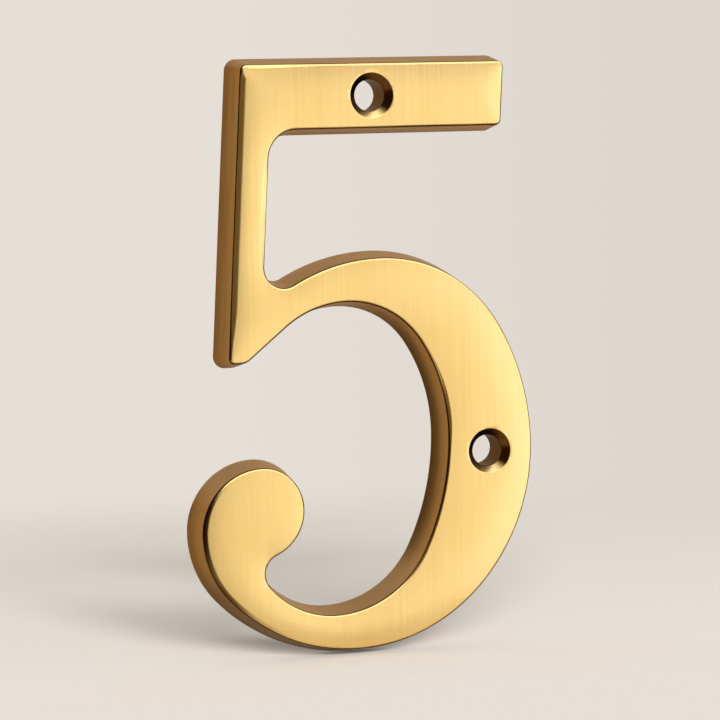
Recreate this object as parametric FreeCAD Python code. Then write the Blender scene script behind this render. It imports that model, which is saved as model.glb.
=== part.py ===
import FreeCAD, Part
import math
import os

# Cast brass door number, the figure 5, as one solid piece.
# X runs to the right and Z up as the figure is read; the back lies on Y = 0 and the face looks
# towards -Y. The outline is drawn for the edge of the face, with X = 0 at the left of the ball and
# Z = 0 at the foot of the bowl; the finished piece is moved to the middle of its two screw holes.

# Driving dimensions, in millimetres and degrees

# The casting as a whole: its height is taken over the back edges
number_height = 102.0
casting_depth = 6.4
draft_angle = 10.3
corner_r = 0.9
edge_roll_r = 0.5

# Bar and stem
bar_stroke = 10.8
bar_end_x = 55.5
bar_fillet_r = 5.1
stem_top_x = 8.4
stem_stroke = 5.4
stem_lean = 3.6
neck_fillet_r = 3.6

# Point at the stem's lower end and the slope that leads up from it
point_width = 2.9
point_r = 2.8
slope_angle = 38.7
slope_r = 18.0

# Outside of the bowl
bowl_top_x = 32.9
bowl_top_z = 66.6
flank_r = 32.8
shoulder_angle = 29.7
bowl_side_x = 60.0
bowl_side_z = 33.6
foot_x = 27.7
foot_angle = 44.3

# Ball at the end of the tail and the crook under it
ball_side_z = 21.1
ball_left_r = 10.7
ball_right_r = 7.3
crook_x = 10.8
crook_z = 13.8
crook_r = 3.5

# Inside of the bowl
tail_x = 23.5
tail_z = 5.9
tail_angle = 26.6
inner_side_x = 44.8
inner_side_z = 35.9
inner_top_x = 26.6
inner_top_z = 59.5
inner_angle = 32.8

# Countersunk screw holes
bore_d = 5.4
sink_d = 7.8
sink_angle = 100.0
bar_hole_x = 31.5
bowl_hole_inset = 7.9
bowl_hole_z = 32.7

# Sizes that follow from them
draft = math.radians(draft_angle)
lean = math.radians(stem_lean)
slope = math.radians(slope_angle)
face_y = -casting_depth
wall_spread = casting_depth * math.tan(draft)
bar_top_z = number_height - 2.0 * wall_spread
bar_under_z = bar_top_z - bar_stroke
bar_mid_z = bar_top_z - bar_stroke / 2.0
ball_z = ball_side_z + ball_left_r - ball_right_r
holes = [(bar_hole_x, bar_mid_z), (bowl_side_x - bowl_hole_inset, bowl_hole_z)]
origin_x = sum(x for x, z in holes) / 2.0
origin_z = sum(z for x, z in holes) / 2.0


# Plane geometry: an arc is (centre x, centre z, radius, start angle, end angle)

def polar(x, z, radius, angle):
    return (x + radius * math.cos(angle), z + radius * math.sin(angle))


def turn(start, end, clockwise):
    """End angle reached from start by turning one way only."""
    sweep = (end - start) % (2.0 * math.pi)
    if clockwise:
        sweep -= 2.0 * math.pi
    return start + sweep


def corner(before, at, after, radius):
    """Arc that rounds the corner between two straight lines."""
    into = math.atan2(at[1] - before[1], at[0] - before[0])
    out = math.atan2(after[1] - at[1], after[0] - at[0])
    bend = math.atan2(math.sin(out - into), math.cos(out - into))
    side = math.copysign(math.pi / 2.0, bend)
    start = polar(at[0], at[1], -radius * math.tan(abs(bend) / 2.0), into)
    centre = polar(start[0], start[1], radius, into + side)
    return (centre[0], centre[1], radius, into - side, into - side + bend)


def quarter(top, side, angle):
    """Two tangent arcs from a level point of the outline to an upright one, meeting at an angle."""
    c = math.cos(math.radians(angle))
    s = math.sin(math.radians(angle))
    across = math.copysign(1.0, side[0] - top[0])
    upward = math.copysign(1.0, top[1] - side[1])
    wide = abs(side[0] - top[0])
    high = abs(side[1] - top[1])
    top_r = (wide * s - high * (1.0 - c)) / (s + c - 1.0)
    side_r = (high * c - wide * (1.0 - s)) / (s + c - 1.0)
    level = math.atan2(upward, 0.0)
    joint = math.atan2(upward * s, across * c)
    upright = math.atan2(0.0, across)
    clockwise = across * upward > 0.0
    first = (top[0], top[1] - upward * top_r, top_r, level, turn(level, joint, clockwise))
    second = (side[0] - across * side_r, side[1], side_r, joint, turn(joint, upright, clockwise))
    return [first, second]


def backwards(arcs):
    """The same arcs run through from the other end."""
    return [(x, z, r, end, start) for x, z, r, start, end in reversed(arcs)]


def outline(grow):
    """Arcs of the figure, clockwise from the bar's top right, with every edge moved out by grow."""
    out = grow / math.cos(lean)
    rake = math.tan(lean)

    def left_x(z):
        return stem_top_x - out + (z - bar_top_z) * rake

    def right_x(z):
        return stem_top_x + stem_stroke / math.cos(lean) + out + (z - bar_top_z) * rake

    def end_x(z):
        return bar_end_x + out + (z - bar_mid_z) * rake

    # Bar
    top = bar_top_z + grow
    under = bar_under_z - grow
    top_left = (left_x(top), top)
    top_right = (end_x(top), top)
    under_right = (end_x(under), under)
    inner = (right_x(under), under)
    arcs = []
    arcs.append(corner(top_left, top_right, under_right, corner_r + grow))
    arcs.append(corner(top_right, under_right, inner, corner_r + grow))
    arcs.append(corner(under_right, inner, (right_x(0.0), 0.0), bar_fillet_r - grow))

    # Neck: touches the stem's right edge and the flank of the bowl
    neck_r = neck_fillet_r - grow
    flank_z = bowl_top_z - flank_r
    reach = flank_r + neck_fillet_r
    ahead = (right_x(flank_z) - bowl_top_x) * math.cos(lean) + neck_r
    rise = math.sqrt(reach * reach - ahead * ahead)
    neck_x = bowl_top_x + ahead * math.cos(lean) + rise * math.sin(lean)
    neck_z = flank_z - ahead * math.sin(lean) + rise * math.cos(lean)
    to_stem = math.pi - lean
    to_flank = math.atan2(flank_z - neck_z, bowl_top_x - neck_x)
    arcs.append((neck_x, neck_z, neck_r, to_stem, turn(to_stem, to_flank, False)))
    arcs.append((bowl_top_x, flank_z, flank_r + grow, to_flank + math.pi, math.pi / 2.0))

    # Outside of the bowl, round to the left of the ball
    bowl_side = (bowl_side_x + grow, bowl_side_z)
    foot = (foot_x, -grow)
    arcs += quarter((bowl_top_x, bowl_top_z + grow), bowl_side, shoulder_angle)
    arcs += backwards(quarter(foot, bowl_side, foot_angle))
    arcs += quarter(foot, (-grow, ball_side_z), foot_angle)

    # Ball, and the turn from under it into the crook
    ball_side_x = ball_left_r + ball_right_r
    crook_c = crook_x + crook_r
    across = ball_side_x - crook_c
    down = ball_z - crook_z
    under_r = (across * across + down * down - crook_r * crook_r) / (2.0 * (across + crook_r))
    leave = math.atan2(-down, under_r - across)
    arcs.append((ball_left_r, ball_side_z, ball_left_r + grow, math.pi, math.pi / 2.0))
    arcs.append((ball_left_r, ball_z, ball_right_r + grow, math.pi / 2.0, 0.0))
    arcs.append((ball_side_x - under_r, ball_z, under_r + grow, 0.0, leave))
    arcs.append((crook_c, crook_z, crook_r - grow, leave + math.pi, math.pi))

    # Inside of the bowl
    wide = tail_x - crook_x
    high = crook_z - tail_z
    tail_r = (wide * wide + high * high - 2.0 * wide * crook_r) / (2.0 * (high - crook_r))
    crook_turn = math.degrees(math.atan2(tail_r - high, wide - crook_r))
    tail = (tail_x, tail_z + grow)
    inner_side = (inner_side_x - grow, inner_side_z)
    arcs += backwards(quarter(tail, (crook_x + grow, crook_z), crook_turn))
    arcs += quarter(tail, inner_side, tail_angle)
    arcs += backwards(quarter((inner_top_x, inner_top_z - grow), inner_side, inner_angle))

    # Slope, point and left side of the stem
    slope_z = inner_top_z - slope_r
    bend = math.pi / 2.0 + slope
    edge = polar(inner_top_x, slope_z, slope_r, bend)
    gap = edge[0] - edge[1] / math.tan(slope) - stem_top_x + bar_top_z * rake
    point = (point_width - gap) / (1.0 / math.tan(slope) - rake) - grow
    start = polar(inner_top_x, slope_z, slope_r - grow, bend)
    meet = (start[0] - (start[1] - point) / math.tan(slope), point)
    point_left = (left_x(point), point)
    arcs.append((inner_top_x, slope_z, slope_r - grow, math.pi / 2.0, bend))
    arcs.append(corner(start, meet, point_left, point_r + grow))
    arcs.append(corner(meet, point_left, top_left, corner_r + grow))
    arcs.append(corner(point_left, top_left, top_right, corner_r + grow))
    return arcs


# Solids

def spot(place, y):
    return FreeCAD.Vector(place[0], y, place[1])


def chain(arcs, y):
    """Edges of the arcs in the plane at y, with straight lines where two arcs lie apart."""
    edges = []
    for index, (x, z, r, start, end) in enumerate(arcs):
        first = polar(x, z, r, start)
        middle = polar(x, z, r, (start + end) / 2.0)
        last = polar(x, z, r, end)
        edges.append(Part.Arc(spot(first, y), spot(middle, y), spot(last, y)).toShape())
        after = arcs[(index + 1) % len(arcs)]
        onward = polar(after[0], after[1], after[2], after[3])
        if math.dist(last, onward) > 1e-5:
            edges.append(Part.makeLine(spot(last, y), spot(onward, y)))
    return edges


def wall(near, far):
    """One drafted wall: flat between two straight edges, part of a cone between two arcs."""
    if isinstance(near.Curve, Part.Line):
        a, b = [v.Point for v in near.Vertexes]
        c, d = [v.Point for v in far.Vertexes]
        return Part.Face(Part.makePolygon([a, b, d, c, a]))
    return Part.makeLoft([Part.Wire([near]), Part.Wire([far])], False, True).Faces[0]


def drafted_blank():
    """The figure with a flat face, a flat back and drafted walls all round."""
    near = chain(outline(0.0), face_y)
    far = chain(outline(wall_spread), 0.0)
    faces = [wall(a, b) for a, b in zip(near, far)]
    faces += [Part.Face(Part.Wire(near)), Part.Face(Part.Wire(far))]
    skin = Part.Compound(faces)
    skin.sewShape(1e-5)
    return Part.Solid(skin.Shells[0])


def face_edges(shape):
    """Edges along which the face meets the walls."""
    return [e for e in shape.Edges if all(abs(v.Point.y - face_y) < 1e-6 for v in e.Vertexes)]


def screw_hole(x, z, over):
    """Cutter for one countersunk hole: a cone from the face into a straight bore."""
    bore_r = bore_d / 2.0
    sink_r = sink_d / 2.0
    flare = math.tan(math.radians(sink_angle) / 2.0)
    seat_y = face_y + (sink_r - bore_r) / flare
    mouth = FreeCAD.Vector(sink_r + over * flare, face_y - over, 0.0)
    seat = FreeCAD.Vector(bore_r, seat_y, 0.0)
    rear = FreeCAD.Vector(bore_r, over, 0.0)
    axis_near = FreeCAD.Vector(0.0, face_y - over, 0.0)
    axis_far = FreeCAD.Vector(0.0, over, 0.0)
    profile = Part.Face(Part.makePolygon([axis_near, mouth, seat, rear, axis_far, axis_near]))
    cutter = profile.revolve(FreeCAD.Vector(0.0, 0.0, 0.0), FreeCAD.Vector(0.0, 1.0, 0.0), 360.0)
    cutter.translate(FreeCAD.Vector(x, 0.0, z))
    return cutter


blank = drafted_blank()
casting = blank.makeFillet(edge_roll_r, face_edges(blank))
for hole_x, hole_z in holes:
    casting = casting.cut(screw_hole(hole_x, hole_z, edge_roll_r))
casting = casting.Solids[0]
casting.translate(FreeCAD.Vector(-origin_x, 0.0, -origin_z))

os.makedirs("parts", exist_ok=True)
casting.exportStep("parts/figure_five.step")
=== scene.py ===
"""Looks of a cast brass door number, the figure 5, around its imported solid.

The figure is modelled again as one dense mesh that keeps the solid's form, with the slight crown and the
worn edges that polishing leaves. X runs to the right as the figure is read and Z up. The back lies on
Y = 0 and the face looks towards -Y. Lengths are in metres.
"""

import logging
import math
from collections.abc import Iterator
from contextlib import contextmanager
from dataclasses import dataclass, replace
from enum import Enum
from typing import Any

import bmesh
import bpy
import numpy as np
from mathutils import Matrix, Vector


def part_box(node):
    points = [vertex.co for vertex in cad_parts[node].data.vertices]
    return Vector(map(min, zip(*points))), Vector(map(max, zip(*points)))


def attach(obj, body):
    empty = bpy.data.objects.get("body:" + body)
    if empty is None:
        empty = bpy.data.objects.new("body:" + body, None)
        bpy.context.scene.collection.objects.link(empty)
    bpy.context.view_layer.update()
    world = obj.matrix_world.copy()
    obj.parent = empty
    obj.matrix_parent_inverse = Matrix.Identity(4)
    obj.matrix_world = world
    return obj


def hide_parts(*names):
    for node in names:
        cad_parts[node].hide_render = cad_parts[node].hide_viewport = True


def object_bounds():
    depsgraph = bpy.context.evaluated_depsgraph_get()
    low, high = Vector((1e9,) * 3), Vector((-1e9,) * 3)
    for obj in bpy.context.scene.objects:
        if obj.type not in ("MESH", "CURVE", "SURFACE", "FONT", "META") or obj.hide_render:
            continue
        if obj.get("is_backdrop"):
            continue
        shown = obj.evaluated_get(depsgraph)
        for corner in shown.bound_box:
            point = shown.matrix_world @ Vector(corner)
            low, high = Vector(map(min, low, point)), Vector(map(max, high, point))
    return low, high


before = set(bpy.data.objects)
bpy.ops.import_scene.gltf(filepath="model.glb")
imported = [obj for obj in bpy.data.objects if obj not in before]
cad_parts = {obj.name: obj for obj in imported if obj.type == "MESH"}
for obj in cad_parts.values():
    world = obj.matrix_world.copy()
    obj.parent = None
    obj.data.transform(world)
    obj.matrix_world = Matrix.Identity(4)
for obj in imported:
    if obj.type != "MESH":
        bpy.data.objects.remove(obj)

LOG = logging.getLogger("door_number")
MM = 0.001
NOISE_MIDDLE = 0.5
NODE = "figure_five"
BODY = "root"

Place = tuple[float, float]
Span = tuple[float, float]
Color = tuple[float, float, float]


# Plane geometry of the outline


class Way(Enum):
    """The two ways round a circle."""

    CLOCKWISE = -1.0
    ANTICLOCKWISE = 1.0


@dataclass(frozen=True)
class Arc:
    """Part of a circle in the figure's plane.

    Attributes:
        x: Centre, to the right.
        z: Centre, upwards.
        radius: Radius of the circle.
        start: Angle at which the arc starts, in radians.
        end: Angle at which it ends, which also says which way it turns.
    """

    x: float
    z: float
    radius: float
    start: float
    end: float

    @property
    def turn(self) -> float:
        """Angle that the arc turns through, without its sign."""
        return abs(self.end - self.start)

    @property
    def length(self) -> float:
        """Length along the arc."""
        return self.turn * self.radius

    def at(self, share: float) -> Place:
        """Point on the arc.

        Args:
            share: How far along, from 0 at the start to 1 at the end.

        Returns:
            The point's place across and upwards.
        """
        angle = self.start + (self.end - self.start) * share
        return polar((self.x, self.z), self.radius, angle)

    def backwards(self) -> "Arc":
        """The same arc run through from its other end."""
        return Arc(self.x, self.z, self.radius, self.end, self.start)


def polar(centre: Place, radius: float, angle: float) -> Place:
    """Point at a distance and angle from a centre.

    Args:
        centre: Where to start.
        radius: Distance from the centre.
        angle: Angle from the right, anticlockwise, in radians.

    Returns:
        The point's place across and upwards.
    """
    return (centre[0] + radius * math.cos(angle), centre[1] + radius * math.sin(angle))


def between(first: Place, last: Place, share: float) -> Place:
    """Point on the straight line between two points.

    Args:
        first: Start of the line.
        last: End of the line.
        share: How far along, from 0 to 1.

    Returns:
        The point's place across and upwards.
    """
    return (first[0] + (last[0] - first[0]) * share, first[1] + (last[1] - first[1]) * share)


def turned(start: float, end: float, way: Way) -> float:
    """End angle reached from a start angle by turning one way only.

    Args:
        start: Angle to turn from, in radians.
        end: Direction to reach, in radians.
        way: Which way to turn.

    Returns:
        An angle in the direction of end, at most a full turn from start.
    """
    sweep = (end - start) % (2.0 * math.pi)
    if way is Way.CLOCKWISE:
        sweep -= 2.0 * math.pi
    return start + sweep


def rounded(before: Place, at: Place, after: Place, radius: float) -> Arc:
    """Arc that rounds the corner between two straight lines.

    Args:
        before: A point on the line that leads into the corner.
        at: The sharp corner.
        after: A point on the line that leads out of it.
        radius: Radius of the rounding.

    Returns:
        The arc, tangent to both lines.
    """
    into = math.atan2(at[1] - before[1], at[0] - before[0])
    out = math.atan2(after[1] - at[1], after[0] - at[0])
    bend = math.atan2(math.sin(out - into), math.cos(out - into))
    side = math.copysign(math.pi / 2.0, bend)
    start = polar(at, -radius * math.tan(abs(bend) / 2.0), into)
    centre = polar(start, radius, into + side)
    return Arc(centre[0], centre[1], radius, into - side, into - side + bend)


def quarter(top: Place, side: Place, meet_deg: float) -> list[Arc]:
    """Two tangent arcs from a level point of the outline to an upright one.

    Args:
        top: Where the outline runs level.
        side: Where it runs upright.
        meet_deg: Angle above the side at which the two arcs meet, in degrees.

    Returns:
        The arc at the top and the arc at the side.
    """
    cos = math.cos(math.radians(meet_deg))
    sin = math.sin(math.radians(meet_deg))
    across = math.copysign(1.0, side[0] - top[0])
    upward = math.copysign(1.0, top[1] - side[1])
    wide = abs(side[0] - top[0])
    high = abs(side[1] - top[1])
    top_r = (wide * sin - high * (1.0 - cos)) / (sin + cos - 1.0)
    side_r = (high * cos - wide * (1.0 - sin)) / (sin + cos - 1.0)
    level = math.atan2(upward, 0.0)
    joint = math.atan2(upward * sin, across * cos)
    upright = math.atan2(0.0, across)
    way = Way.CLOCKWISE if across * upward > 0.0 else Way.ANTICLOCKWISE
    first = Arc(top[0], top[1] - upward * top_r, top_r, level, turned(level, joint, way))
    second = Arc(side[0] - across * side_r, side[1], side_r, joint, turned(joint, upright, way))
    return [first, second]


def reversed_arcs(arcs: list[Arc]) -> list[Arc]:
    """The same run of arcs from its other end."""
    return [arc.backwards() for arc in reversed(arcs)]


@dataclass
class FigureOutline:
    """Outline of the figure 5 at the edge of its face.

    X = 0 lies at the left of the ball and Z = 0 at the foot of the bowl. Every run of arcs can be moved
    outwards by the same distance, so rings at different depths pair up point by point.
    """

    bar_top_z: float
    bar_stroke: float = 10.8 * MM
    bar_end_x: float = 55.5 * MM
    bar_fillet_r: float = 5.1 * MM
    stem_top_x: float = 8.4 * MM
    stem_stroke: float = 5.4 * MM
    stem_lean_deg: float = 3.6
    neck_fillet_r: float = 3.6 * MM
    point_width: float = 2.9 * MM
    point_r: float = 2.8 * MM
    slope_deg: float = 38.7
    slope_r: float = 18.0 * MM
    bowl_top: Place = (32.9 * MM, 66.6 * MM)
    flank_r: float = 32.8 * MM
    shoulder_deg: float = 29.7
    bowl_side: Place = (60.0 * MM, 33.6 * MM)
    foot_x: float = 27.7 * MM
    foot_deg: float = 44.3
    ball_side_z: float = 21.1 * MM
    ball_left_r: float = 10.7 * MM
    ball_right_r: float = 7.3 * MM
    crook: Place = (10.8 * MM, 13.8 * MM)
    crook_r: float = 3.5 * MM
    tail: Place = (23.5 * MM, 5.9 * MM)
    tail_deg: float = 26.6
    inner_side: Place = (44.8 * MM, 35.9 * MM)
    inner_top: Place = (26.6 * MM, 59.5 * MM)
    inner_deg: float = 32.8
    corner_r: float = 0.9 * MM
    least_corner_r: float = 0.05 * MM
    bar_hole_x: float = 31.5 * MM
    bowl_hole: Place = (52.1 * MM, 32.7 * MM)
    pitch: float = 0.4 * MM
    least_line: float = 0.004 * MM
    turn_step_deg: float = 6.0

    @property
    def lean(self) -> float:
        """Lean of the stem to the right at its top, in radians."""
        return math.radians(self.stem_lean_deg)

    @property
    def hole_places(self) -> list[Place]:
        """Middles of the screw holes, midway up the bar and in the bowl."""
        return [(self.bar_hole_x, self.bar_mid_z), self.bowl_hole]

    @property
    def bar_mid_z(self) -> float:
        """Height of the middle of the bar."""
        return self.bar_top_z - self.bar_stroke / 2.0

    def corner(self, grow: float) -> float:
        """Radius of the small corners in a ring moved out by grow."""
        return max(self.corner_r + grow, self.least_corner_r)

    def stem_left(self, z: float, grow: float) -> float:
        """Place of the stem's left edge at a height, moved out by grow."""
        out = grow / math.cos(self.lean)
        return self.stem_top_x - out + (z - self.bar_top_z) * math.tan(self.lean)

    def stem_right(self, z: float, grow: float) -> float:
        """Place of the stem's right edge at a height, moved out by grow."""
        out = (self.stem_stroke + grow) / math.cos(self.lean)
        return self.stem_top_x + out + (z - self.bar_top_z) * math.tan(self.lean)

    def bar_right(self, z: float, grow: float) -> float:
        """Place of the bar's right end at a height, moved out by grow."""
        out = grow / math.cos(self.lean)
        return self.bar_end_x + out + (z - self.bar_mid_z) * math.tan(self.lean)

    def _bar(self, grow: float) -> list[Arc]:
        """The bar's right end and the fillet under it.

        Args:
            grow: Distance that every edge is moved out.

        Returns:
            Three arcs, clockwise.
        """
        top = self.bar_top_z + grow
        under = self.bar_top_z - self.bar_stroke - grow
        top_left = (self.stem_left(top, grow), top)
        top_right = (self.bar_right(top, grow), top)
        under_right = (self.bar_right(under, grow), under)
        inner = (self.stem_right(under, grow), under)
        stem_low = (self.stem_right(0.0, grow), 0.0)
        return [
            rounded(top_left, top_right, under_right, self.corner(grow)),
            rounded(top_right, under_right, inner, self.corner(grow)),
            rounded(under_right, inner, stem_low, self.bar_fillet_r - grow),
        ]

    def _neck(self, grow: float) -> list[Arc]:
        """The hollow between the stem and the bowl, and the bowl's left flank.

        Args:
            grow: Distance that every edge is moved out.

        Returns:
            The neck, which touches the stem and the flank, and the flank.
        """
        neck_r = self.neck_fillet_r - grow
        bowl_x, bowl_z = self.bowl_top
        flank_z = bowl_z - self.flank_r
        reach = self.flank_r + self.neck_fillet_r
        ahead = (self.stem_right(flank_z, grow) - bowl_x) * math.cos(self.lean) + neck_r
        rise = math.sqrt(reach * reach - ahead * ahead)
        neck_x = bowl_x + ahead * math.cos(self.lean) + rise * math.sin(self.lean)
        neck_z = flank_z - ahead * math.sin(self.lean) + rise * math.cos(self.lean)
        to_stem = math.pi - self.lean
        to_flank = math.atan2(flank_z - neck_z, bowl_x - neck_x)
        end = turned(to_stem, to_flank, Way.ANTICLOCKWISE)
        return [
            Arc(neck_x, neck_z, neck_r, to_stem, end),
            Arc(bowl_x, flank_z, self.flank_r + grow, to_flank + math.pi, math.pi / 2.0),
        ]

    def _bowl_outside(self, grow: float) -> list[Arc]:
        """The bowl's outside from its top round to the left of the ball.

        Args:
            grow: Distance that every edge is moved out.

        Returns:
            Six arcs, clockwise.
        """
        top = (self.bowl_top[0], self.bowl_top[1] + grow)
        side = (self.bowl_side[0] + grow, self.bowl_side[1])
        foot = (self.foot_x, -grow)
        ball = (-grow, self.ball_side_z)
        shoulder = quarter(top, side, self.shoulder_deg)
        right_foot = reversed_arcs(quarter(foot, side, self.foot_deg))
        return shoulder + right_foot + quarter(foot, ball, self.foot_deg)

    def _ball(self, grow: float) -> list[Arc]:
        """The ball, and the turn from under it into the crook.

        Args:
            grow: Distance that every edge is moved out.

        Returns:
            Four arcs from the left of the ball to the left of the crook.
        """
        ball_z = self.ball_side_z + self.ball_left_r - self.ball_right_r
        side_x = self.ball_left_r + self.ball_right_r
        crook_x = self.crook[0] + self.crook_r
        crook_z = self.crook[1]
        across = side_x - crook_x
        down = ball_z - crook_z
        under_r = (across**2 + down**2 - self.crook_r**2) / (2.0 * (across + self.crook_r))
        leave = math.atan2(-down, under_r - across)
        quarter_turn = math.pi / 2.0
        return [
            Arc(self.ball_left_r, self.ball_side_z, self.ball_left_r + grow, math.pi, quarter_turn),
            Arc(self.ball_left_r, ball_z, self.ball_right_r + grow, quarter_turn, 0.0),
            Arc(side_x - under_r, ball_z, under_r + grow, 0.0, leave),
            Arc(crook_x, crook_z, self.crook_r - grow, leave + math.pi, math.pi),
        ]

    def _bowl_inside(self, grow: float) -> list[Arc]:
        """The bowl's inside from the crook round to the top of the opening.

        Args:
            grow: Distance that every edge is moved out.

        Returns:
            Six arcs, anticlockwise round the opening.
        """
        wide = self.tail[0] - self.crook[0]
        high = self.crook[1] - self.tail[1]
        tail_r = (wide**2 + high**2 - 2.0 * wide * self.crook_r) / (2.0 * (high - self.crook_r))
        crook_deg = math.degrees(math.atan2(tail_r - high, wide - self.crook_r))
        tail = (self.tail[0], self.tail[1] + grow)
        crook = (self.crook[0] + grow, self.crook[1])
        side = (self.inner_side[0] - grow, self.inner_side[1])
        top = (self.inner_top[0], self.inner_top[1] - grow)
        from_crook = reversed_arcs(quarter(tail, crook, crook_deg))
        to_top = reversed_arcs(quarter(top, side, self.inner_deg))
        return from_crook + quarter(tail, side, self.tail_deg) + to_top

    def _point(self, grow: float) -> list[Arc]:
        """The slope down to the stem's point, the point and the stem's top left corner.

        Args:
            grow: Distance that every edge is moved out.

        Returns:
            Four arcs that close the outline.
        """
        slope = math.radians(self.slope_deg)
        rake = math.tan(self.lean)
        centre = (self.inner_top[0], self.inner_top[1] - self.slope_r)
        bend = math.pi / 2.0 + slope
        edge = polar(centre, self.slope_r, bend)
        gap = edge[0] - edge[1] / math.tan(slope) - self.stem_top_x + self.bar_top_z * rake
        low = (self.point_width - gap) / (1.0 / math.tan(slope) - rake) - grow
        start = polar(centre, self.slope_r - grow, bend)
        meet = (start[0] - (start[1] - low) / math.tan(slope), low)
        low_left = (self.stem_left(low, grow), low)
        top = self.bar_top_z + grow
        top_left = (self.stem_left(top, grow), top)
        top_right = (self.bar_right(top, grow), top)
        return [
            Arc(centre[0], centre[1], self.slope_r - grow, math.pi / 2.0, bend),
            rounded(start, meet, low_left, self.point_r + grow),
            rounded(meet, low_left, top_left, self.corner(grow)),
            rounded(low_left, top_left, top_right, self.corner(grow)),
        ]

    def arcs(self, grow: float) -> list[Arc]:
        """All arcs of the figure, clockwise from the bar's top right.

        Args:
            grow: Distance that every edge is moved out from the edge of the face.

        Returns:
            The arcs in order. Where two lie apart, a straight line joins them.
        """
        upper = self._bar(grow) + self._neck(grow) + self._bowl_outside(grow)
        return upper + self._ball(grow) + self._bowl_inside(grow) + self._point(grow)

    def steps(self) -> list[tuple[int, int]]:
        """Mesh steps on each arc and on the straight line after it, the same for every ring."""
        arcs = self.arcs(0.0)
        counts = []
        for arc, after in zip(arcs, arcs[1:] + arcs[:1]):
            by_turn = math.ceil(arc.turn / math.radians(self.turn_step_deg))
            by_length = math.ceil(arc.length / self.pitch)
            gap = math.dist(arc.at(1.0), after.at(0.0))
            straight = math.ceil(gap / self.pitch) if gap > self.least_line else 0
            counts.append((max(by_turn, by_length), straight))
        return counts

    def runs(self) -> list[float]:
        """Where each point of a ring lies: on from n on arc n, and from n + 0.5 on a line after it."""
        places = []
        for index, (curve, straight) in enumerate(self.steps()):
            reach = 0.5 if straight else 1.0
            places += [index + reach * step / curve for step in range(curve)]
            places += [index + 0.5 + 0.5 * step / straight for step in range(straight)]
        return places

    def ring(self, grow: float) -> list[Place]:
        """Points round the figure.

        Args:
            grow: Distance that the ring lies outside the edge of the face.

        Returns:
            The points in order, as many for every ring.
        """
        arcs = self.arcs(grow)
        points = []
        for arc, after, (curve, straight) in zip(arcs, arcs[1:] + arcs[:1], self.steps()):
            points += [arc.at(step / curve) for step in range(curve)]
            leave = arc.at(1.0)
            meet = after.at(0.0)
            points += [between(leave, meet, step / straight) for step in range(straight)]
        return points


# The casting


@dataclass(frozen=True)
class Station:
    """One ring of the casting's skin.

    Attributes:
        grow: Distance outside the edge of the face.
        forward: Distance in front of the back.
    """

    grow: float
    forward: float


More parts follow.
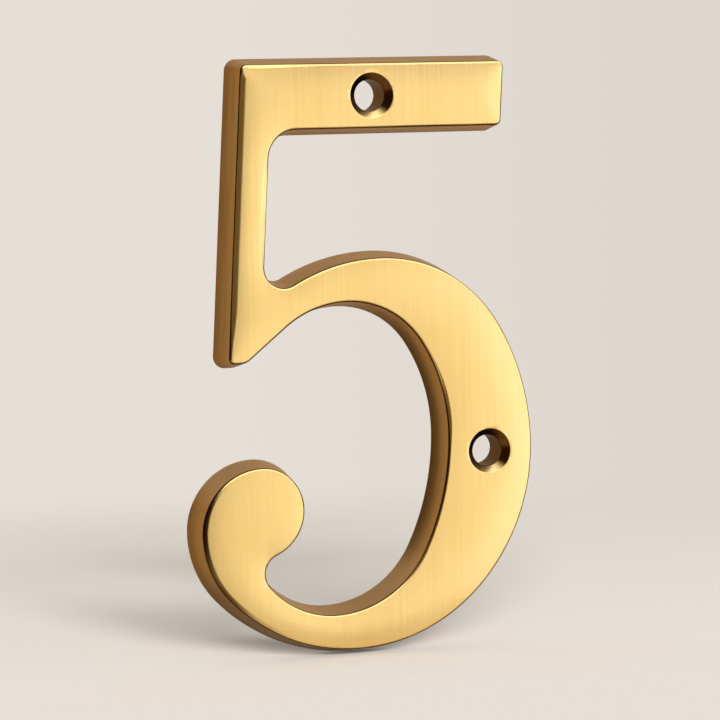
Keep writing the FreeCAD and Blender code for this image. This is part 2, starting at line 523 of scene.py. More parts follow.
@dataclass
class EdgeSection:
    """Section across the casting's edge: broken back edge, drafted wall and rolled face edge."""

    depth: float
    draft_deg: float = 10.3
    roll_r: float = 0.5 * MM
    inner_r: float = 0.5 * MM
    bevel: float = 0.0
    bevel_deg: float = 18.0
    bevel_hold: float = 0.1
    back_break_r: float = 0.25 * MM
    crown_rise: float = 0.31 * MM
    crown_reach: float = 8.0 * MM
    hold: float = 0.12 * MM
    outer_steps: int = 8
    inner_steps: int = 4
    break_steps: int = 4
    wall_steps: int = 4

    @property
    def draft(self) -> float:
        """Draft of the walls, in radians."""
        return math.radians(self.draft_deg)

    @property
    def spread(self) -> float:
        """Distance that the back's outline lies outside the edge of the face."""
        return self.depth * math.tan(self.draft)

    @property
    def rim_forward(self) -> float:
        """Distance from the back to the rim, where the roll ends and the crown starts."""
        return self.depth - self.crown_rise

    @property
    def rim_slope(self) -> float:
        """Slope of the crowned face at its rim, in radians."""
        return math.atan(2.0 * self.crown_rise / self.crown_reach)

    @property
    def bevel_angle(self) -> float:
        """Angle between the bevel's normal and the figure's plane, in radians."""
        return math.radians(90.0 - self.bevel_deg)

    @property
    def roll_start(self) -> float:
        """Distance from the back at which the wall turns into the roll."""
        outer = self.roll_r * (math.sin(self.bevel_angle) - math.sin(self.draft))
        inner = self.inner_r * (math.cos(self.rim_slope) - math.sin(self.bevel_angle))
        return self.rim_forward - outer - inner - self.bevel * math.cos(self.bevel_angle)

    def _wall_grow(self, forward: float) -> float:
        """Place of the drafted wall at a distance in front of the back."""
        return self.spread - forward * math.tan(self.draft)

    def _back_break(self) -> list[Station]:
        """Rings from just inside the flat back round its broken edge to the wall."""
        lift = self.back_break_r * (1.0 + math.sin(self.draft))
        centre = self.spread - lift / math.cos(self.draft)
        rows = [Station(centre - self.hold, 0.0)]
        for step in range(self.break_steps + 1):
            angle = -math.pi / 2.0 + (math.pi / 2.0 + self.draft) * step / self.break_steps
            grow = centre + self.back_break_r * math.cos(angle)
            forward = self.back_break_r * (1.0 + math.sin(angle))
            rows.append(Station(grow, forward))
        return rows

    def _wall(self) -> list[Station]:
        """Rings on the drafted wall, one close to each end so that it shades flat."""
        low = self.back_break_r * (1.0 + math.sin(self.draft)) + self.hold
        high = self.roll_start - self.hold
        rows = []
        for step in range(self.wall_steps + 1):
            forward = low + (high - low) * step / self.wall_steps
            rows.append(Station(self._wall_grow(forward), forward))
        return rows

    @staticmethod
    def _turn(start: Station, radius: float, angles: tuple[float, float], steps: int) -> list[Station]:
        """Rings round one part of the rolled edge.

        Args:
            start: Ring at which the part starts.
            radius: Radius of the part.
            angles: First and last angle between the normal and the figure's plane, in radians.
            steps: Mesh steps.

        Returns:
            The rings after the first.
        """
        first, last = angles
        rows = []
        for step in range(1, steps + 1):
            angle = first + (last - first) * step / steps
            inward = radius * (math.cos(first) - math.cos(angle))
            forward = radius * (math.sin(angle) - math.sin(first))
            rows.append(Station(start.grow - inward, start.forward + forward))
        return rows

    def _bevel(self, start: Station) -> list[Station]:
        """Rings on the worn bevel, one close to each end so that it shades flat."""
        rows = []
        hold = self.bevel_hold * self.bevel
        for along in (hold, self.bevel - hold, self.bevel):
            inward = along * math.sin(self.bevel_angle)
            rows.append(Station(start.grow - inward, start.forward + along * math.cos(self.bevel_angle)))
        return rows

    def _roll(self) -> list[Station]:
        """Rings round the rolled edge, from the wall over the bevel to the slope of the crown."""
        rim_angle = math.pi / 2.0 - self.rim_slope
        rows = [Station(self._wall_grow(self.roll_start), self.roll_start)]
        rows += self._turn(rows[-1], self.roll_r, (self.draft, self.bevel_angle), self.outer_steps)
        if self.bevel > 0.0:
            rows += self._bevel(rows[-1])
        return rows + self._turn(rows[-1], self.inner_r, (self.bevel_angle, rim_angle), self.inner_steps)

    def stations(self) -> list[Station]:
        """All rings from the flat back to just inside the rim of the face."""
        roll = self._roll()
        inside = Station(roll[-1].grow - self.hold, roll[-1].forward)
        return self._back_break() + self._wall() + roll + [inside]


@dataclass(frozen=True)
class WideRoll:
    """Stretch of the outline along which polishing has worn the edge to a wider roll.

    Attributes:
        start: Run of the outline at which the roll starts to widen.
        full_from: Run from which it is as wide as it gets.
        full_to: Run up to which it stays so.
        end: Run at which it is fine again.
        share: How far it goes from the fine roll to the wide one.
    """

    start: float
    full_from: float
    full_to: float
    end: float
    share: float = 1.0

    def at(self, run: float) -> float:
        """How wide the roll is at one run of the outline, from 0 to 1."""
        rise = min(max((run - self.start) / (self.full_from - self.start), 0.0), 1.0)
        fall = min(max((self.end - run) / (self.end - self.full_to), 0.0), 1.0)
        level = min(rise, fall)
        return self.share * level * level * (3.0 - 2.0 * level)


@dataclass
class ScrewHole:
    """One countersunk screw hole, cut right through the casting."""

    place: Place
    bore_d: float = 5.4 * MM
    sink_d: float = 7.8 * MM
    sink_deg: float = 100.0
    lip_r: float = 0.15 * MM
    lip_lift: float = 0.006 * MM
    over: float = 1.0 * MM
    sides: int = 96
    lip_steps: int = 4
    hold: float = 0.1 * MM

    @property
    def lip_centre_r(self) -> float:
        """Radius at which the rounded lip meets the face."""
        half = math.radians(self.sink_deg) / 2.0
        return self.sink_d / 2.0 + self.lip_r * (1.0 - math.sin(half)) / math.cos(half)

    @property
    def sink_depth(self) -> float:
        """Depth of the countersink below the face."""
        return (self.sink_d - self.bore_d) / 2.0 / math.tan(math.radians(self.sink_deg) / 2.0)

    def profile(self, level: float) -> list[Place]:
        """Cutter's outline from in front of the face to behind the back.

        Args:
            level: Distance from the back to the face at the hole.

        Returns:
            Pairs of radius and distance in front of the back.
        """
        half = math.radians(self.sink_deg) / 2.0
        bore_r = self.bore_d / 2.0
        points = [(self.lip_centre_r, level + self.over)]
        for step in range(self.lip_steps + 1):
            angle = math.pi / 2.0 + (math.pi / 2.0 - half) * step / self.lip_steps
            points.append(polar((self.lip_centre_r, level + self.lip_lift - self.lip_r), self.lip_r, angle))
        lip_end = points[-1]
        points.append((lip_end[0] - self.hold * math.sin(half), lip_end[1] - self.hold * math.cos(half)))
        points.append((bore_r, level - self.sink_depth))
        points.append((bore_r, -self.over))
        return points

    def cutter(self, level: float) -> bpy.types.Object:
        """Models the body that cuts the hole, ring by ring from a circle.

        Args:
            level: Distance from the back to the face at the hole.

        Returns:
            The closed cutter.
        """
        (first_r, first_forward), *others = self.profile(level)
        bpy.ops.object.select_all(action="DESELECT")
        bpy.ops.mesh.primitive_circle_add(
            vertices=self.sides,
            radius=first_r,
            fill_type="NGON",
            location=(self.place[0], -first_forward, self.place[1]),
            rotation=(math.pi / 2.0, 0.0, 0.0),
        )
        cutter = bpy.context.active_object
        cutter.name = "hole_cutter"
        bpy.ops.object.transform_apply(location=True, rotation=True, scale=True)
        radius, forward = first_r, first_forward
        with editing(cutter):
            bpy.ops.mesh.select_all(action="SELECT")
            for next_r, next_forward in others:
                move = {"value": (0.0, forward - next_forward, 0.0)}
                bpy.ops.mesh.extrude_region_move(TRANSFORM_OT_translate=move)
                centre = (self.place[0], -next_forward, self.place[1])
                ratio = next_r / radius
                bpy.ops.transform.resize(value=(ratio, 1.0, ratio), center_override=centre)
                radius, forward = next_r, next_forward
            bpy.ops.mesh.select_all(action="SELECT")
            bpy.ops.mesh.normals_make_consistent(inside=False)
        return cutter


def select_only(obj: bpy.types.Object) -> None:
    """Selects one object, makes it active and deselects all others."""
    bpy.ops.object.select_all(action="DESELECT")
    obj.select_set(True)
    bpy.context.view_layer.objects.active = obj


@contextmanager
def editing(obj: bpy.types.Object) -> Iterator[None]:
    """Edit mode on one object, left again at the end of the with block.

    Args:
        obj: The object to edit; nothing else is selected.
    """
    select_only(obj)
    bpy.ops.object.mode_set(mode="EDIT")
    try:
        yield
    finally:
        bpy.ops.object.mode_set(mode="OBJECT")


@dataclass
class CastFigure:
    """The door number itself, one casting."""

    outline: FigureOutline
    section: EdgeSection
    wide_section: EdgeSection
    wide_rolls: list[WideRoll]
    holes: list[ScrewHole]
    origin: Place
    finish: "BrassFinish"
    name: str = "brass_figure"
    grid_pitch: float = 0.8 * MM
    grid_snap: float = 0.06 * MM
    weld: float = 0.001 * MM
    face_margin: float = 1e-4 * MM
    lip_margin: float = 0.01 * MM
    least_apart: float = 1e-6 * MM
    smooth_deg: float = 32.0

    def _level_ring(self, station: Station) -> list[Vector]:
        """Points of one section's ring in the shared frame."""
        points = self.outline.ring(station.grow)
        return [Vector((x - self.origin[0], -station.forward, z - self.origin[1])) for x, z in points]

    def _rings(self) -> list[list[Vector]]:
        """Points of all rings, each between the fine section and the wide one.

        Returns:
            One list of points a ring, from the flat back to just inside the rim of the face.
        """
        widths = [max(roll.at(run) for roll in self.wide_rolls) for run in self.outline.runs()]
        rings = []
        for fine, wide in zip(self.section.stations(), self.wide_section.stations()):
            pairs = zip(self._level_ring(fine), self._level_ring(wide), widths)
            rings.append([near.lerp(far, width) for near, far, width in pairs])
        return rings

    def _skin(self) -> bpy.types.Object:
        """Models the closed casting with a flat face, ring by ring from its back.

        Returns:
            The new object, with the face still one polygon.
        """
        first, *others = self._rings()
        count = len(first)
        bpy.ops.object.select_all(action="DESELECT")
        bpy.ops.mesh.primitive_circle_add(vertices=count, radius=self.section.depth, fill_type="NOTHING")
        piece = bpy.context.active_object
        piece.name = self.name
        piece.data.name = self.name
        for vertex, place in zip(piece.data.vertices, first):
            vertex.co = place
        with editing(piece):
            bpy.ops.mesh.select_all(action="SELECT")
            bpy.ops.mesh.edge_face_add()
            for ring in others:
                self._select_last_ring(piece, count)
                bpy.ops.mesh.extrude_edges_move()
                mesh = bmesh.from_edit_mesh(piece.data)
                mesh.verts.ensure_lookup_table()
                for vertex, place in zip(mesh.verts[-count:], ring):
                    vertex.co = place
                bmesh.update_edit_mesh(piece.data)
            self._select_last_ring(piece, count)
            bpy.ops.mesh.edge_face_add()
            self._cut_face_grid(piece)
            bpy.ops.mesh.select_all(action="SELECT")
            bpy.ops.mesh.normals_make_consistent(inside=False)
        return piece

    @staticmethod
    def _select_last_ring(piece: bpy.types.Object, count: int) -> None:
        """Selects the edges of the ring that was made last.

        Args:
            piece: The casting, in edit mode.
            count: Points in a ring.
        """
        bpy.ops.mesh.select_all(action="DESELECT")
        mesh = bmesh.from_edit_mesh(piece.data)
        last = len(mesh.verts) - count
        for edge in mesh.edges:
            edge.select_set(all(vertex.index >= last for vertex in edge.verts))
        bmesh.update_edit_mesh(piece.data)

    def _cut_face_grid(self, piece: bpy.types.Object) -> None:
        """Cuts the selected flat face into a grid fine enough for its crown.

        Args:
            piece: The casting, in edit mode, with only its face selected. Not used.
        """
        low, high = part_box(NODE)
        bpy.ops.mesh.hide(unselected=True)
        for axis in (0, 2):
            normal = Vector((0.0, 0.0, 0.0))
            normal[axis] = 1.0
            for line in range(1, math.ceil((high[axis] - low[axis]) / self.grid_pitch)):
                bpy.ops.mesh.select_all(action="SELECT")
                bpy.ops.mesh.bisect(
                    plane_co=low + normal * line * self.grid_pitch,
                    plane_no=normal,
                    threshold=self.grid_snap,
                )
        bpy.ops.mesh.reveal(select=False)

    def _rim_distance(self, places: np.ndarray) -> np.ndarray:
        """Smooth distance from points of the face to its rim.

        The inverse cube of the distance is summed along the whole rim. Close to an edge the result is the
        plain distance, and midway between two edges it levels off without a ridge.

        Args:
            places: Points across and upwards, one a row, in the shared frame.

        Returns:
            One distance for each point.
        """
        ring = np.array([(point.x, point.z) for point in self._rings()[-2]])
        along = np.roll(ring, -1, axis=0) - ring
        length = np.linalg.norm(along, axis=1)
        along = along / length[:, None]
        offset = places[:, None, :] - ring[None, :, :]
        before = -np.einsum("psk,sk->ps", offset, along)
        after = before + length
        apart = np.abs(offset[:, :, 0] * along[:, 1] - offset[:, :, 1] * along[:, 0])
        apart = np.maximum(apart, self.least_apart)
        share = after / np.hypot(after, apart) - before / np.hypot(before, apart)
        return np.sqrt(2.0 / np.sum(share / apart**2, axis=1))

    def _crown(self, places: np.ndarray) -> np.ndarray:
        """Height of the crowned face above its rim.

        Args:
            places: Points across and upwards, one a row, in the shared frame.

        Returns:
            One height for each point.
        """
        share = np.minimum(self._rim_distance(places) / self.section.crown_reach, 1.0)
        return self.section.crown_rise * (1.0 - (1.0 - share) ** 2)

    def _crown_face(self, piece: bpy.types.Object) -> None:
        """Raises the flat face into its crown and takes the countersinks along.

        Args:
            piece: The casting, in object mode.
        """
        coordinates = np.empty(len(piece.data.vertices) * 3)
        piece.data.vertices.foreach_get("co", coordinates)
        points = coordinates.reshape(-1, 3)
        share = (np.abs(points[:, 1] + self.section.rim_forward) < self.face_margin).astype(float)
        for hole in self.holes:
            apart = np.hypot(points[:, 0] - hole.place[0], points[:, 2] - hole.place[1])
            above_seat = self.section.rim_forward - hole.sink_depth
            along = np.clip((-points[:, 1] - above_seat) / hole.sink_depth, 0.0, 1.0)
            share = np.maximum(share, along * (apart < hole.lip_centre_r + self.lip_margin))
        moved = np.flatnonzero(share)
        points[moved, 1] -= share[moved] * self._crown(points[moved][:, [0, 2]])
        piece.data.vertices.foreach_set("co", points.ravel())
        piece.data.update()

    def _drill(self, piece: bpy.types.Object, hole: ScrewHole) -> None:
        """Cuts one countersunk hole through the casting while its face is still flat.

        Args:
            piece: The casting, in object mode.
            hole: The hole to cut.
        """
        cutter = hole.cutter(self.section.rim_forward)
        cut = piece.modifiers.new("screw_hole", "BOOLEAN")
        cut.operation = "DIFFERENCE"
        cut.solver = "EXACT"
        cut.object = cutter
        select_only(piece)
        bpy.ops.object.modifier_apply(modifier=cut.name)
        bpy.data.objects.remove(cutter)

    def build(self) -> bpy.types.Object:
        """Models the casting, dresses it and puts it in the solid's place.

        Returns:
            The finished piece.
        """
        piece = self._skin()
        for hole in self.holes:
            self._drill(piece, hole)
        with editing(piece):
            bpy.ops.mesh.select_all(action="SELECT")
            bpy.ops.mesh.remove_doubles(threshold=self.weld)
        self._crown_face(piece)
        select_only(piece)
        bpy.ops.object.shade_smooth_by_angle(angle=math.radians(self.smooth_deg))
        piece.data.materials.clear()
        piece.data.materials.append(self.finish.material(self))
        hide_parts(NODE)
        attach(piece, BODY)
        return piece


# Node wiring


class Signal:
    """A node's output that takes part in arithmetic: each operator adds one Math node."""

    def __init__(self, board: "NodeBoard", socket: bpy.types.NodeSocket) -> None:
        """Wraps one output socket of a board."""
        self.board = board
        self.socket = socket

    def _math(self, operation: str, first: Any, second: Any) -> "Signal":
        """Adds a Math node.

        Args:
            operation: The node's operation.
            first: Its first value, a number or a signal.
            second: Its second value, a number or a signal.

        Returns:
            The node's result.
        """
        return self.board.add("ShaderNodeMath", {"operation": operation}, {0: first, 1: second})

    def __add__(self, other: Any) -> "Signal":
        """This signal plus another value."""
        return self._math("ADD", self, other)

    def __radd__(self, other: Any) -> "Signal":
        """Another value plus this signal."""
        return self._math("ADD", other, self)

    def __sub__(self, other: Any) -> "Signal":
        """This signal less another value."""
        return self._math("SUBTRACT", self, other)

    def __rsub__(self, other: Any) -> "Signal":
        """Another value less this signal."""
        return self._math("SUBTRACT", other, self)

    def __mul__(self, other: Any) -> "Signal":
        """This signal times another value."""
        return self._math("MULTIPLY", self, other)

    def __rmul__(self, other: Any) -> "Signal":
        """Another value times this signal."""
        return self._math("MULTIPLY", other, self)

    def __truediv__(self, other: Any) -> "Signal":
        """This signal divided by another value."""
        return self._math("DIVIDE", self, other)

    def __rtruediv__(self, other: Any) -> "Signal":
        """Another value divided by this signal."""
        return self._math("DIVIDE", other, self)

    def __pow__(self, other: Any) -> "Signal":
        """This signal to a power."""
        return self._math("POWER", self, other)

    def __neg__(self) -> "Signal":
        """This signal with its sign changed."""
        return self._math("MULTIPLY", self, -1.0)

    def least(self, other: Any) -> "Signal":
        """The smaller of this signal and another value."""
        return self._math("MINIMUM", self, other)

    def swing(self, size: float) -> "Signal":
        """A noise's departure from its middle, times a size."""
        return (self - NOISE_MIDDLE) * size

    def rising(self, low: float, high: float) -> "Signal":
        """A soft step that rises from 0 to 1.

        Args:
            low: Value up to which the step is 0.
            high: Value from which the step is 1.

        Returns:
            The step.
        """
        settings = {"interpolation_type": "SMOOTHSTEP"}
        return self.board.add(
            "ShaderNodeMapRange", settings, {"Value": self, "From Min": low, "From Max": high}
        )


class NodeBoard:
    """The node tree of one material or of the world."""

    def __init__(self, tree: bpy.types.NodeTree) -> None:
        """Empties the tree."""
        self.tree = tree
        self.tree.nodes.clear()

    def node(self, kind: str, settings: dict[str, Any], sockets: dict[Any, Any]) -> bpy.types.Node:
        """Adds one node.

        Args:
            kind: The node's type.
            settings: Its properties by name, set first.
            sockets: Its inputs by name or number, as signals to link or values to set.

        Returns:
            The new node.
        """
        node = self.tree.nodes.new(kind)
        for name, value in settings.items():
            setattr(node, name, value)
        for key, value in sockets.items():
            if isinstance(value, Signal):
                self.tree.links.new(value.socket, node.inputs[key])
            else:
                node.inputs[key].default_value = value
        return node

    def add(self, kind: str, settings: dict[str, Any], sockets: dict[Any, Any], out: Any = 0) -> Signal:
        """Adds one node and gives one of its outputs.

        Args:
            kind: The node's type.
            settings: Its properties by name, set first.
            sockets: Its inputs by name or number.
            out: Name or number of the output.

        Returns:
            That output.
        """
        return Signal(self, self.node(kind, settings, sockets).outputs[out])

    def mix(self, share: Any, first: Any, second: Any) -> Signal:
        """Mixes two colours.

        Args:
            share: How much of the second colour there is, from 0 to 1.
            first: A colour or a signal.
            second: A colour or a signal.

        Returns:
            The mixed colour.
        """
        colors = [value if isinstance(value, Signal) else (*value, 1.0) for value in (first, second)]
        return self.add("ShaderNodeMix", {"data_type": "RGBA"}, {0: share, 6: colors[0], 7: colors[1]}, 2)

    def place(self, kind: str) -> tuple[Signal, Signal, Signal, Signal]:
        """Texture coordinates.

        Args:
            kind: Name of the output, such as Object or Normal.

        Returns:
            The vector, and its three parts.
        """
        vector = self.add("ShaderNodeTexCoord", {}, {}, kind)
        parts = self.node("ShaderNodeSeparateXYZ", {}, {0: vector})
        return (vector, *(Signal(self, parts.outputs[axis]) for axis in range(3)))

    def noise(self, vector: Signal, grain: "Grain") -> Signal:
        """Cloudy noise stretched along the axes.

        Args:
            vector: Where the noise is read.
            grain: How coarse it is.

        Returns:
            A value around a half.
        """
        placed = self.add("ShaderNodeMapping", {}, {"Vector": vector, "Scale": grain.lumps})
        return self.add("ShaderNodeTexNoise", {}, {"Vector": placed, "Scale": 1.0, "Detail": grain.layers})


# Finishes


@dataclass(frozen=True)
class Grain:
    """How coarse a noise is.

    Attributes:
        lumps: Lumps a metre along each axis.
        layers: How many finer layers it has.
    """

    lumps: Color
    layers: float


@dataclass(frozen=True)
class BrassFinish:
    """Lacquered brass: a polished, finely brushed face and brown satin walls, with painted shade and painted
    light on edges, walls and holes.

    Parts of the figure are spans of X or Z over which one part fades into the next. Turns and reaches are
    told by how squarely a surface looks to the front, and looks by how far it looks to one side. Forward
    spans run from the back at 0 to the face at 1.
    """

    face_color: Color = (0.91, 0.635, 0.235)
    face_shade: Color = (0.84, 0.56, 0.185)
    wall_color: Color = (0.40, 0.20, 0.056)
    # Painted shade: the darker colour that the walls take towards the back.
    wall_shade: Color = (0.22, 0.10, 0.026)
    # Painted light: the lighter colour of walls that face up.
    painted_lit_wall: Color = (0.56, 0.34, 0.15)
    # Painted shade in the parts of the countersinks that face away from the light.
    sink_shade: Color = (0.12, 0.05, 0.012)
    # Painted shade: the dark colour of the bores.
    painted_bore_shade: Color = (0.10, 0.036, 0.006)
    # Painted shade at the back of the bowl's inner walls and on walls that face down by the foot.
    inner_shade: Color = (0.05, 0.022, 0.005)
    # Painted shade: a dark band along the rolled edges, narrowed where they face up or to the right.
    painted_edge_shade: Color = (0.075, 0.028, 0.005)
    grazing_tint: Color = (0.85, 0.74, 0.60)
    face_roughness: float = 0.24
    roll_roughness: float = 0.2
    wall_roughness: float = 0.40
    sink_roughness: float = 0.22
    coat: float = 0.35
    coat_roughness: float = 0.12
    brushing: Grain = Grain((2400.0, 300.0, 26.0), 3.0)
    clouding: Grain = Grain((60.0, 60.0, 60.0), 2.0)
    casting_grain: Grain = Grain((60.0, 650.0, 60.0), 4.0)
    casting_swing: float = 0.25
    brushing_swing: float = 0.10
    clouding_swing: float = 0.06
    bump_strength: float = 0.12
    bump_depth: float = 0.02 * MM
    casting_bump: float = 2.0
    right_part: Span = (-20.0 * MM, -8.0 * MM)
    upper_part: Span = (-38.0 * MM, -25.0 * MM)
    above_foot: Span = (-60.0 * MM, -38.0 * MM)
    roll_turn: Span = (0.01, 0.08)
    face_turn: Span = (0.975, 0.995)
    face_streaks: Span = (0.6, 1.4)
    back_shade_span: Span = (-0.1, 0.9)
    streak_swing: float = 1.2
    # Strength of the painted shade in the bowl and under the foot.
    painted_shade_strength: float = 0.75
    shade_forward: Span = (0.1, 0.8)
    inner_look: Span = (0.3, 0.9)
    under_look: Span = (0.1, 0.7)
    upper_look: Span = (0.3, 0.95)
    sink_forward: Span = (0.4, 0.5)
    sink_look: Span = (0.2, 0.7)
    sink_lean: float = 0.4
    sink_edge: float = 0.1 * MM
    bore_edge: Span = (0.02 * MM, 0.12 * MM)
    heavy_look: Span = (0.2, 0.8)
    thin_shade_look: Span = (0.5, 0.9)
    bright_look: Span = (0.3, 0.9)
    bright_lean: float = 0.1
    bright_right: float = 0.3
    edge_shade_reach: float = 0.92
    heavy_reach: float = 0.05
    thin_shade_reach: float = 0.05
    bright_reach: float = 0.27
    edge_shade_fade: float = 0.08
    edge_shade_swing: float = 0.2

    def material(self, figure: CastFigure) -> bpy.types.Material:
        """Makes the finish for a casting.

        Args:
            figure: The casting, whose section and holes say where each surface lies.

        Returns:
            The material.
        """
        material = bpy.data.materials.new("lacquered_brass")
        material.use_nodes = True
        board = NodeBoard(material.node_tree)
        vector, x, y, z = board.place("Object")
        brushed = board.noise(vector, self.brushing)
        clouds = board.noise(vector, self.clouding)
        grain = board.noise(vector, self.casting_grain)
        on_roll, on_face, edge_shaded, sideways, upward = self._edge_zones(board, figure.section, clouds, x, z)
        forward = (-y) / figure.section.depth
        in_sink, in_bore = self._hole_zones(figure, x, z)
        in_sink = in_sink * forward.rising(*self.sink_forward)

        # The worn mask is painted shade: the walls darken towards the back, broken up by streaks of the
        # casting's grain.
        worn = (forward + grain.swing(self.streak_swing)).rising(*self.back_shade_span)
        wall = board.mix(worn, self.wall_shade, self.wall_color)
        # Painted shade towards the back of walls that face left on the right of the figure, such as the
        # bowl's inside.
        enclosed = (-sideways).rising(*self.inner_look) * x.rising(*self.right_part)
        deep = 1.0 - forward.rising(*self.shade_forward)
        wall = board.mix(enclosed * deep * self.painted_shade_strength, wall, self.inner_shade)
        # Painted shade on walls that face down low on the figure, by the foot and the floor.
        grounded = (-upward).rising(*self.under_look) * (1.0 - z.rising(*self.above_foot))
        wall = board.mix(grounded * self.painted_shade_strength, wall, self.inner_shade)
        # Painted light: walls that face up are lighter.
        wall = board.mix(upward.rising(*self.upper_look), wall, self.painted_lit_wall)
        face = board.mix((brushed + clouds).rising(*self.face_streaks), self.face_shade, self.face_color)
        # Painted shade along the rolled edges, over the walls and the face.
        outside = board.mix(edge_shaded, board.mix(on_roll, wall, face), self.painted_edge_shade)
        # Painted light and shade in the countersinks: parts that face up take the face's colour, the rest
        # the dark sink colour.
        lit = (upward + self.sink_lean * sideways).rising(*self.sink_look)
        sink = board.mix(lit, self.sink_shade, self.face_color)
        # Painted shade: the bores are dark.
        color = board.mix(in_bore, board.mix(in_sink, outside, sink), self.painted_bore_shade)

        satin = self.wall_roughness + grain.swing(self.casting_swing)
        gloss = self.face_roughness + brushed.swing(self.brushing_swing) + clouds.swing(self.clouding_swing)
        outer = satin + on_roll * (self.roll_roughness - satin)
        roughness = outer + on_face * (gloss - outer)
        roughness = roughness + in_sink * (self.sink_roughness - roughness)
        roughness = roughness + in_bore * (self.wall_roughness - roughness)
        polished = on_face * (1.0 - in_sink)
        height = brushed * polished + grain * (1.0 - on_roll) * self.casting_bump
        relief = {"Strength": self.bump_strength, "Distance": self.bump_depth, "Height": height}
        bump = board.add("ShaderNodeBump", {}, relief)
        shader = board.add(
            "ShaderNodeBsdfPrincipled",
            {},
            {
                "Base Color": color,
                "Metallic": 1.0,
                "Roughness": roughness,
                "Specular Tint": (*self.grazing_tint, 1.0),
                "Normal": bump,
                "Coat Weight": polished * self.coat,
                "Coat Roughness": self.coat_roughness,
            },
        )
        board.node("ShaderNodeOutputMaterial", {}, {"Surface": shader})
        return material

    def _edge_zones(
        self, board: NodeBoard, section: EdgeSection, clouds: Signal, x: Signal, z: Signal
    ) -> tuple[Signal, Signal, Signal, Signal, Signal]:
        """Where the rolled edge and the face lie, and where shade is painted on the roll, told by the way
        that the surface looks.

        Args:
            board: The material's node tree.
            section: Section across the casting's edge.
            clouds: Soft noise that makes the painted edge shade uneven.
            x: Place across.
            z: Place upwards; the painted edge shade is widest at the lower left.

        Returns:
            Three masks, from the roll inwards, the face and the painted shade on the roll, and how far the
            surface looks to the right and up, each from -1 to 1.
        """
        _, across, through, up = board.place("Normal")
        front = -through
        wall = math.sin(section.draft)
        on_roll = front.rising(wall + self.roll_turn[0], wall + self.roll_turn[1])
        on_face = front.rising(*self.face_turn)
        level = (across * across + up * up) ** 0.5
        upward = up / level
        sideways = across / level
        to_right = x.rising(*self.right_part)
        low_left = (1.0 - to_right) * (1.0 - z.rising(*self.upper_part))
        # Painted edge shade: widest on left-facing edges at the lower left, narrower on other left-facing
        # edges, narrowest on edges that face up or right.
        heavy = (-sideways).rising(*self.heavy_look) * low_left
        thin_shade = (-sideways).rising(*self.thin_shade_look) * (1.0 - low_left)
        lit = upward + self.bright_lean * sideways + self.bright_right * to_right
        bright = lit.rising(*self.bright_look)
        reach = self.edge_shade_reach + heavy * self.heavy_reach
        reach = reach - thin_shade * self.thin_shade_reach - bright * self.bright_reach
        uneven = front - reach + clouds.swing(self.edge_shade_swing)
        # polished marks the part of the roll that is left without painted shade.
        polished = uneven.rising(-self.edge_shade_fade, self.edge_shade_fade)
        edge_shaded = on_roll * (1.0 - polished) * (1.0 - on_face)
        return on_roll, on_face, edge_shaded, sideways, upward

    def _hole_zones(self, figure: CastFigure, x: Signal, z: Signal) -> tuple[Signal, Signal]:
        """Where the screw holes lie.

        Args:
            figure: The casting with its holes.
            x: Place across.
            z: Place upwards.

        Returns:
            Two masks, the countersinks with their bores and the bores alone.
        """
        hole, *others = figure.holes
        apart = ((x - hole.place[0]) ** 2.0 + (z - hole.place[1]) ** 2.0) ** 0.5
        for other in others:
            apart = apart.least(((x - other.place[0]) ** 2.0 + (z - other.place[1]) ** 2.0) ** 0.5)
        sink_r = hole.sink_d / 2.0
        bore_r = hole.bore_d / 2.0
        in_sink = 1.0 - apart.rising(sink_r - self.sink_edge, sink_r)
        in_bore = 1.0 - apart.rising(bore_r + self.bore_edge[0], bore_r + self.bore_edge[1])
        return in_sink, in_bore


@dataclass(frozen=True)
class FloorFinish:
    """Plain pale matt floor that fades out at its edge."""

    color: Color = (0.80, 0.765, 0.71)
    mottle: float = 0.985
    grain: Grain = Grain((40.0, 40.0, 40.0), 3.0)
    roughness: float = 0.85
    clear_from: float = 0.10
    clear_to: float = 0.26
    front_from: float = 0.012
    front_to: float = 0.05

    def material(self) -> bpy.types.Material:
        """Makes the floor's material."""
        material = bpy.data.materials.new("pale_floor")
        material.use_nodes = True
        board = NodeBoard(material.node_tree)
        vector, x, y, _ = board.place("Object")
        away = (x * x + y * y) ** 0.5
        around = 1.0 - away.rising(self.clear_from, self.clear_to)
        in_front = y.rising(-self.front_to, -self.front_from)
        mottled = tuple(self.mottle * part for part in self.color)
        color = board.mix(board.noise(vector, self.grain), mottled, self.color)
        surface = {"Base Color": color, "Roughness": self.roughness, "Alpha": around * in_front}
        shader = board.add("ShaderNodeBsdfPrincipled", {}, surface)
        board.node("ShaderNodeOutputMaterial", {}, {"Surface": shader})
        return material


# Studio


def toward(azimuth_deg: float, elevation_deg: float) -> Vector:
    """Direction away from the figure.

    Args:
        azimuth_deg: Angle to the right of straight ahead of the face, in degrees.
        elevation_deg: Angle above the level, in degrees.

    Returns:
        A vector of length 1.
    """
    azimuth = math.radians(azimuth_deg)
    elevation = math.radians(elevation_deg)
    level = math.cos(elevation)
    return Vector((math.sin(azimuth) * level, -math.cos(azimuth) * level, math.sin(elevation)))


class Shows(Enum):
    """What a lamp shows on."""

    EVERYTHING = "everything"
    MATT = "matt surfaces"
    METAL = "metal"


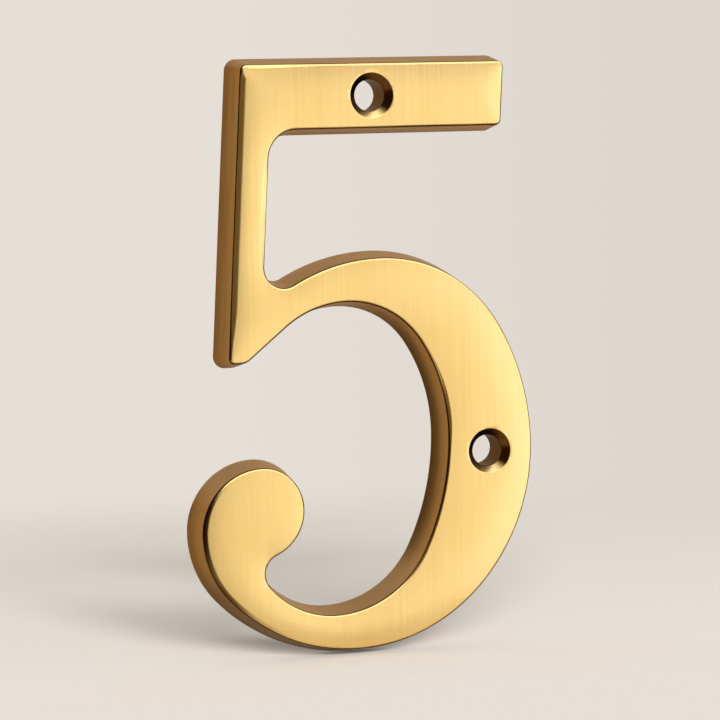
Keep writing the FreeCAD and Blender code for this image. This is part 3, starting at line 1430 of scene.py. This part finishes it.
@dataclass(frozen=True)
class Softbox:
    """One rectangular studio lamp that faces the figure."""

    name: str
    azimuth_deg: float
    elevation_deg: float
    distance: float
    width: float
    height: float
    radiance: float
    shows: Shows = Shows.EVERYTHING
    color: Color = (1.0, 0.985, 0.96)

    def build(self, aim: Vector) -> bpy.types.Object:
        """Hangs the lamp.

        Args:
            aim: Point that the lamp faces.

        Returns:
            The lamp.
        """
        away = toward(self.azimuth_deg, self.elevation_deg)
        data = bpy.data.lights.new(self.name, "AREA")
        data.shape = "RECTANGLE"
        data.size = self.width
        data.size_y = self.height
        data.energy = self.radiance * math.pi * self.width * self.height
        data.color = self.color
        lamp = bpy.data.objects.new(self.name, data)
        lamp.location = aim + away * self.distance
        lamp.rotation_mode = "QUATERNION"
        lamp.rotation_quaternion = away.to_track_quat("Z", "Y")
        lamp.visible_camera = False
        lamp.visible_glossy = self.shows is not Shows.MATT
        lamp.visible_diffuse = self.shows is not Shows.METAL
        bpy.context.scene.collection.objects.link(lamp)
        return lamp


@dataclass
class Studio:
    """Pale floor, pale backdrop and soft light.

    A fade is the span of a direction's part, from -1 to 1, over which one colour turns into the next.
    """

    floor_z: float
    floor_finish: FloorFinish = FloorFinish()
    floor_r: float = 0.28
    floor_sides: int = 128
    backdrop_left: Color = (0.79, 0.737, 0.68)
    backdrop_right: Color = (0.722, 0.672, 0.617)
    ceiling: Color = (0.18, 0.177, 0.172)
    room: Color = (0.26, 0.25, 0.24)
    flag: Color = (0.131, 0.091, 0.05)
    ground: Color = (0.80, 0.745, 0.675)
    flag_azimuth_deg: float = -50.0
    flag_fade: Span = (0.5, 0.8)
    backdrop_fade: Span = (-0.06, 0.11)
    skirting_fade: Span = (0.12, 0.17)
    ground_fade: Span = (0.25, 0.42)
    behind_fade: Span = (0.0, 0.45)
    ceiling_fade: Span = (0.55, 0.85)
    softboxes: tuple[Softbox, ...] = (
        Softbox("front_softbox", 17.25, -4.0, 1.2, 0.413, 0.62, 0.90),
        Softbox("side_softbox", 51.0, -4.0, 1.2, 1.07, 0.62, 1.35, color=(0.97, 1.0, 1.2)),
        Softbox("top_softbox", 30.0, 50.0, 1.1, 2.05, 1.43, 1.5, Shows.METAL, (0.97, 1.0, 1.2)),
        Softbox("key_softbox", -8.0, 18.0, 3.0, 2.00, 1.20, 27.5, Shows.MATT),
    )

    def floor(self) -> bpy.types.Object:
        """Lays the floor under the figure's foot."""
        bpy.ops.object.select_all(action="DESELECT")
        bpy.ops.mesh.primitive_circle_add(vertices=self.floor_sides, radius=self.floor_r, fill_type="NGON")
        floor = bpy.context.active_object
        floor.name = "floor"
        for vertex in floor.data.vertices:
            vertex.co.z = self.floor_z
        floor.data.materials.append(self.floor_finish.material())
        floor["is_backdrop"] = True
        return floor

    def world(self) -> None:
        """Makes the surroundings: a pale backdrop, a dim room and a dark flag to the left in front."""
        world = bpy.data.worlds.new("studio")
        world.use_nodes = True
        board = NodeBoard(world.node_tree)
        _, x, y, z = board.place("Generated")
        view = math.radians(PhotoCamera.azimuth_deg)
        rightward = (x * math.cos(view) + y * math.sin(view)).rising(*self.backdrop_fade)
        backdrop = board.mix(rightward, self.backdrop_left, self.backdrop_right)
        backdrop = board.mix((-z).rising(*self.skirting_fade), backdrop, self.ground)
        flag = math.radians(self.flag_azimuth_deg)
        flagged = (x * math.sin(flag) - y * math.cos(flag)).rising(*self.flag_fade)
        in_front = board.mix(flagged, self.room, self.flag)
        color = board.mix(y.rising(*self.behind_fade), in_front, backdrop)
        color = board.mix((-z).rising(*self.ground_fade), color, self.ground)
        color = board.mix(z.rising(*self.ceiling_fade), color, self.ceiling)
        sky = board.add("ShaderNodeBackground", {}, {"Color": color, "Strength": 1.0})
        board.node("ShaderNodeOutputWorld", {}, {"Surface": sky})
        bpy.context.scene.world = world

    def build(self) -> None:
        """Sets up the floor, the surroundings and the lamps."""
        self.floor()
        self.world()
        for softbox in self.softboxes:
            softbox.build(Vector((0.0, 0.0, 0.0)))


@dataclass(frozen=True)
class PhotoCamera:
    """Camera at the photograph's viewing angle."""

    azimuth_deg: float = -20.763
    elevation_deg: float = 4.496
    roll_deg: float = 1.075
    distance: float = 0.6
    lens_mm: float = 174.56
    target: tuple[float, float, float] = (-10.931 * MM, 0.0, -14.53 * MM)
    nearest: float = 0.01
    farthest: float = 50.0

    def build(self) -> bpy.types.Object:
        """Sets the camera up and makes it the scene's.

        Returns:
            The camera.
        """
        azimuth = math.radians(self.azimuth_deg)
        roll = math.radians(self.roll_deg)
        level = Vector((math.cos(azimuth), math.sin(azimuth), 0.0))
        back = toward(self.azimuth_deg, self.elevation_deg)
        upright = back.cross(level)
        right = level * math.cos(roll) - upright * math.sin(roll)
        up = upright * math.cos(roll) + level * math.sin(roll)
        data = bpy.data.cameras.new("photo_camera")
        data.lens = self.lens_mm
        data.clip_start = self.nearest
        data.clip_end = self.farthest
        camera = bpy.data.objects.new("photo_camera", data)
        turn = Matrix((right, up, back)).transposed().to_4x4()
        camera.matrix_world = Matrix.Translation(Vector(self.target) + back * self.distance) @ turn
        bpy.context.scene.collection.objects.link(camera)
        bpy.context.scene.camera = camera
        return camera


def door_number() -> CastFigure:
    """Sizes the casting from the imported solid.

    Returns:
        The casting, ready to build.
    """
    low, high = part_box(NODE)
    section = EdgeSection(depth=high.y - low.y)
    worn = {"roll_r": 0.3 * MM, "bevel": 0.55 * MM, "inner_r": 1.5 * MM}
    wide_section = replace(section, **worn, outer_steps=6, inner_steps=3)
    stem_roll = WideRoll(23.5, 23.59, 23.985, 23.998)
    neck_roll = WideRoll(2.4, 2.65, 2.9, 3.1)
    bowl_roll = WideRoll(18.8, 19.2, 19.4, 19.9, 0.5)
    ball_roll = WideRoll(9.0, 9.5, 11.1, 11.7, 0.7)
    bar_roll = WideRoll(24.5, 24.51, 24.54, 24.66, 0.4)
    wide_rolls = [stem_roll, neck_roll, bowl_roll, ball_roll, bar_roll]
    outline = FigureOutline(bar_top_z=high.z - low.z - 2.0 * section.spread)
    origin = (-section.spread - low.x, -section.spread - low.z)
    holes = [ScrewHole((x - origin[0], z - origin[1])) for x, z in outline.hole_places]
    return CastFigure(outline, section, wide_section, wide_rolls, holes, origin, BrassFinish())


def main() -> None:
    """Builds the door number, its studio and the camera."""
    logging.basicConfig(level=logging.INFO, format="%(name)s: %(message)s")
    bpy.context.scene.view_settings.view_transform = "Standard"
    solid_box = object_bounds()
    piece = door_number().build()
    LOG.info("%s: %d vertices, %d faces", piece.name, len(piece.data.vertices), len(piece.data.polygons))
    Studio(floor_z=solid_box[0].z).build()
    LOG.info("studio: floor, backdrop and softboxes")
    camera = PhotoCamera().build()
    LOG.info("%s: %.1f mm lens", camera.name, camera.data.lens)


if __name__ == "__main__":
    main()
